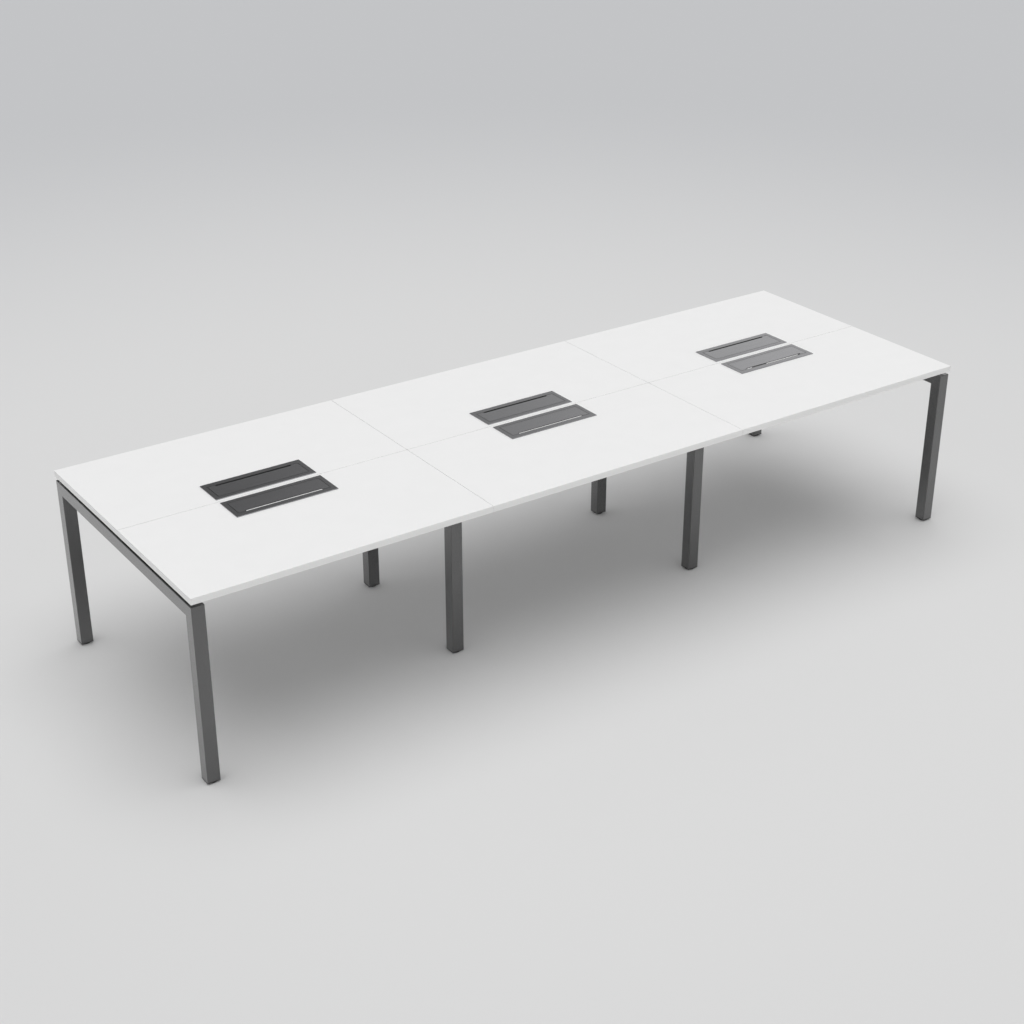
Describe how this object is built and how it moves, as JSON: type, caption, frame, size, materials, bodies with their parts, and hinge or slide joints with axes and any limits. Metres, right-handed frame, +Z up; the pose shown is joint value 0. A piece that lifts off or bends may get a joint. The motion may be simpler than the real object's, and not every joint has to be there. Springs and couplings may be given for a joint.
{
  "type": "bench desk",
  "caption": "Long shared bench desk with facing rows of white worktops on square-tube portal frames, with a hinged aluminium cable flap at each place.",
  "frame": {"origin": "on the floor under the centre of the desk", "axes": "+X along the desk's length, +Y from the front row to the back row, +Z up"},
  "size_m": [3.6, 1.2, 0.751],
  "materials": {
    "white_melamine": "smooth matt melamine facing on board",
    "graphite_steel": "fine-textured powder coat",
    "black_plastic": "moulded, matt",
    "black_nylon": "moulded, matt",
    "anodised_aluminium": "brushed and anodised",
    "bright_steel": "bright drawn"
  },
  "bodies": {
    "desk": {"worktop_front_left": "white_melamine", "beam_front_left": "graphite_steel", "flap_bezel_front_left": "anodised_aluminium", "hinge_pin_front_left": "bright_steel", "worktop_back_left": "white_melamine", "beam_back_left": "graphite_steel", "flap_bezel_back_left": "anodised_aluminium", "hinge_pin_back_left": "bright_steel", "worktop_front_middle": "white_melamine", "beam_front_middle": "graphite_steel", "flap_bezel_front_middle": "anodised_aluminium", "hinge_pin_front_middle": "bright_steel", "worktop_back_middle": "white_melamine", "beam_back_middle": "graphite_steel", "flap_bezel_back_middle": "anodised_aluminium", "hinge_pin_back_middle": "bright_steel", "worktop_front_right": "white_melamine", "beam_front_right": "graphite_steel", "flap_bezel_front_right": "anodised_aluminium", "hinge_pin_front_right": "bright_steel", "worktop_back_right": "white_melamine", "beam_back_right": "graphite_steel", "flap_bezel_back_right": "anodised_aluminium", "hinge_pin_back_right": "bright_steel", "frame_end_left": "graphite_steel", "spacer_strip_end_left": "black_plastic", "frame_mid_left": "graphite_steel", "spacer_strip_mid_left": "black_plastic", "frame_mid_right": "graphite_steel", "spacer_strip_mid_right": "black_plastic", "frame_end_right": "graphite_steel", "spacer_strip_end_right": "black_plastic", "leg_cap_end_left_front": "black_plastic", "leg_cap_end_left_back": "black_plastic", "leg_cap_mid_left_front": "black_plastic", "leg_cap_mid_left_back": "black_plastic", "leg_cap_mid_right_front": "black_plastic", "leg_cap_mid_right_back": "black_plastic", "leg_cap_end_right_front": "black_plastic", "leg_cap_end_right_back": "black_plastic"},
    "lid_front_left": {"flap_lid_front_left": "anodised_aluminium"},
    "lid_back_left": {"flap_lid_back_left": "anodised_aluminium"},
    "lid_front_middle": {"flap_lid_front_middle": "anodised_aluminium"},
    "lid_back_middle": {"flap_lid_back_middle": "anodised_aluminium"},
    "lid_front_right": {"flap_lid_front_right": "anodised_aluminium"},
    "lid_back_right": {"flap_lid_back_right": "anodised_aluminium"},
    "levelling_foot_end_left_front": {"foot_end_left_front": "black_nylon"},
    "levelling_foot_end_left_back": {"foot_end_left_back": "black_nylon"},
    "levelling_foot_mid_left_front": {"foot_mid_left_front": "black_nylon"},
    "levelling_foot_mid_left_back": {"foot_mid_left_back": "black_nylon"},
    "levelling_foot_mid_right_front": {"foot_mid_right_front": "black_nylon"},
    "levelling_foot_mid_right_back": {"foot_mid_right_back": "black_nylon"},
    "levelling_foot_end_right_front": {"foot_end_right_front": "black_nylon"},
    "levelling_foot_end_right_back": {"foot_end_right_back": "black_nylon"}
  },
  "joints": [
    {"name": "lid_hinge_front_left", "type": "hinge", "parent": "desk", "child": "lid_front_left", "pos_m": [-1.2002, -0.0393, 0.7488], "axis": [-1, 0, 0], "range_deg": [0, 95]},
    {"name": "lid_hinge_back_left", "type": "hinge", "parent": "desk", "child": "lid_back_left", "pos_m": [-1.2002, 0.0393, 0.7488], "axis": [1, 0, 0], "range_deg": [0, 95]},
    {"name": "lid_hinge_front_middle", "type": "hinge", "parent": "desk", "child": "lid_front_middle", "pos_m": [0, -0.0393, 0.7488], "axis": [-1, 0, 0], "range_deg": [0, 95]},
    {"name": "lid_hinge_back_middle", "type": "hinge", "parent": "desk", "child": "lid_back_middle", "pos_m": [0, 0.0393, 0.7488], "axis": [1, 0, 0], "range_deg": [0, 95]},
    {"name": "lid_hinge_front_right", "type": "hinge", "parent": "desk", "child": "lid_front_right", "pos_m": [1.2002, -0.0393, 0.7488], "axis": [-1, 0, 0], "range_deg": [0, 95]},
    {"name": "lid_hinge_back_right", "type": "hinge", "parent": "desk", "child": "lid_back_right", "pos_m": [1.2002, 0.0393, 0.7488], "axis": [1, 0, 0], "range_deg": [0, 95]},
    {"name": "foot_screw_end_left_front", "type": "slide", "parent": "desk", "child": "levelling_foot_end_left_front", "axis": [0, 0, -1], "range_m": [0, 0.015]},
    {"name": "foot_screw_end_left_back", "type": "slide", "parent": "desk", "child": "levelling_foot_end_left_back", "axis": [0, 0, -1], "range_m": [0, 0.015]},
    {"name": "foot_screw_mid_left_front", "type": "slide", "parent": "desk", "child": "levelling_foot_mid_left_front", "axis": [0, 0, -1], "range_m": [0, 0.015]},
    {"name": "foot_screw_mid_left_back", "type": "slide", "parent": "desk", "child": "levelling_foot_mid_left_back", "axis": [0, 0, -1], "range_m": [0, 0.015]},
    {"name": "foot_screw_mid_right_front", "type": "slide", "parent": "desk", "child": "levelling_foot_mid_right_front", "axis": [0, 0, -1], "range_m": [0, 0.015]},
    {"name": "foot_screw_mid_right_back", "type": "slide", "parent": "desk", "child": "levelling_foot_mid_right_back", "axis": [0, 0, -1], "range_m": [0, 0.015]},
    {"name": "foot_screw_end_right_front", "type": "slide", "parent": "desk", "child": "levelling_foot_end_right_front", "axis": [0, 0, -1], "range_m": [0, 0.015]},
    {"name": "foot_screw_end_right_back", "type": "slide", "parent": "desk", "child": "levelling_foot_end_right_back", "axis": [0, 0, -1], "range_m": [0, 0.015]}
  ]
}
